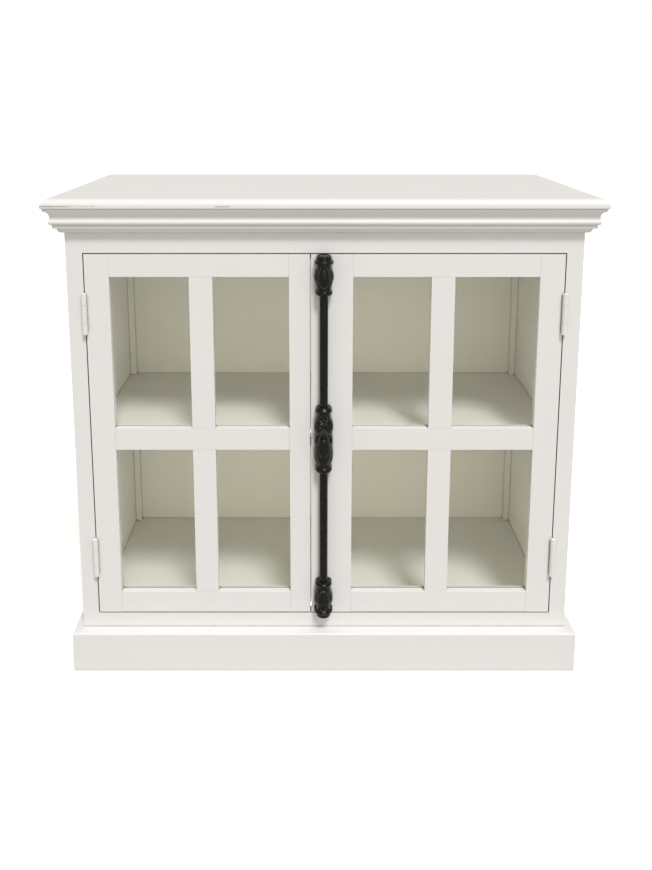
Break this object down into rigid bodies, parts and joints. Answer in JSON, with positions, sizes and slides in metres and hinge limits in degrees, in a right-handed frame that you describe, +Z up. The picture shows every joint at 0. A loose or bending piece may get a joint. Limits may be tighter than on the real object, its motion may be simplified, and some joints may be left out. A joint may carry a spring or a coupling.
{
  "type": "glazed casement cabinet",
  "caption": "Low painted wooden cabinet with moulded top, plinth, glazed double doors, inner shelf and a long surface bolt that locks one door at top and bottom.",
  "frame": {"origin": "on the floor, under the middle of the cabinet's bounding box", "axes": "+X to the right along the front, +Y from the doors to the back, +Z up"},
  "size_m": [0.995, 0.4964, 0.914],
  "materials": {
    "painted_wood": "satin white brushed paint, lightly rubbed through at the edges",
    "glass": "clear, faint green",
    "painted_hinge": "satin white paint over steel",
    "screw_steel": "plain steel",
    "black_iron": "satin black enamel over cast iron"
  },
  "bodies": {
    "carcass": {"top_board": "painted_wood", "right_side_panel": "painted_wood", "left_side_panel": "painted_wood", "bottom_board": "painted_wood", "back_panel": "painted_wood", "right_rear_post": "painted_wood", "left_rear_post": "painted_wood", "shelf": "painted_wood", "shelf_cleats": "painted_wood", "rear_top_rail": "painted_wood", "rear_bottom_rail": "painted_wood", "top_stretchers": "painted_wood", "door_stop": "painted_wood", "crown_front": "painted_wood", "crown_right": "painted_wood", "crown_left": "painted_wood", "bed_front": "painted_wood", "bed_right": "painted_wood", "bed_left": "painted_wood", "plinth_front": "painted_wood", "plinth_right": "painted_wood", "plinth_left": "painted_wood", "plinth_back": "painted_wood", "right_face_stile": "painted_wood", "left_face_stile": "painted_wood", "top_face_rail": "painted_wood", "bottom_face_rail": "painted_wood", "strike_plates": "screw_steel", "corner_blocks": "painted_wood", "frame_hinge_leaves": "painted_hinge", "hinge_pins": "painted_hinge", "frame_screws": "screw_steel"},
    "left_door": {"left_door_hinge_stile": "painted_wood", "left_door_meeting_stile": "painted_wood", "left_door_bottom_rail": "painted_wood", "left_door_middle_rail": "painted_wood", "left_door_top_rail": "painted_wood", "left_door_bars": "painted_wood", "left_door_glass": "glass", "left_door_beads": "painted_wood", "left_door_hinge_leaves": "painted_hinge", "left_door_screws": "screw_steel"},
    "right_door": {"right_door_hinge_stile": "painted_wood", "right_door_bolt_stile": "painted_wood", "right_door_bottom_rail": "painted_wood", "right_door_middle_rail": "painted_wood", "right_door_top_rail": "painted_wood", "right_door_bars": "painted_wood", "right_door_glass": "glass", "right_door_beads": "painted_wood", "right_door_hinge_leaves": "painted_hinge", "right_door_screws": "screw_steel", "bolt_top_guide": "black_iron", "bolt_centre_casting": "black_iron", "bolt_bottom_guide": "black_iron", "bolt_screws": "screw_steel"},
    "bolt_knob": {"bolt_knob": "black_iron", "bolt_pinion": "screw_steel"},
    "upper_rod": {"bolt_upper_rod": "black_iron"},
    "lower_rod": {"bolt_lower_rod": "black_iron"}
  },
  "joints": [
    {"name": "left_door_swing", "type": "hinge", "parent": "carcass", "child": "left_door", "pos_m": [-0.4345, -0.21275, 0.4635], "axis": [0, 0, -1], "range_deg": [0, 170]},
    {"name": "right_door_swing", "type": "hinge", "parent": "carcass", "child": "right_door", "pos_m": [0.4345, -0.21275, 0.4635], "axis": [0, 0, 1], "range_deg": [0, 170]},
    {"name": "knob_turn", "type": "hinge", "parent": "right_door", "child": "bolt_knob", "pos_m": [-0.0013, -0.24825, 0.456], "axis": [0, -1, 0], "range_deg": [0, 180]},
    {"name": "upper_rod_slide", "type": "slide", "parent": "right_door", "child": "upper_rod", "axis": [0, 0, 1], "range_m": [0, 0.01571]},
    {"name": "lower_rod_slide", "type": "slide", "parent": "right_door", "child": "lower_rod", "axis": [0, 0, -1], "range_m": [0, 0.01571]}
  ],
  "couplings": [
    {"joint": "knob_turn", "follows": "upper_rod_slide", "rad_per_m": 200},
    {"joint": "lower_rod_slide", "follows": "upper_rod_slide", "ratio": 1}
  ]
}
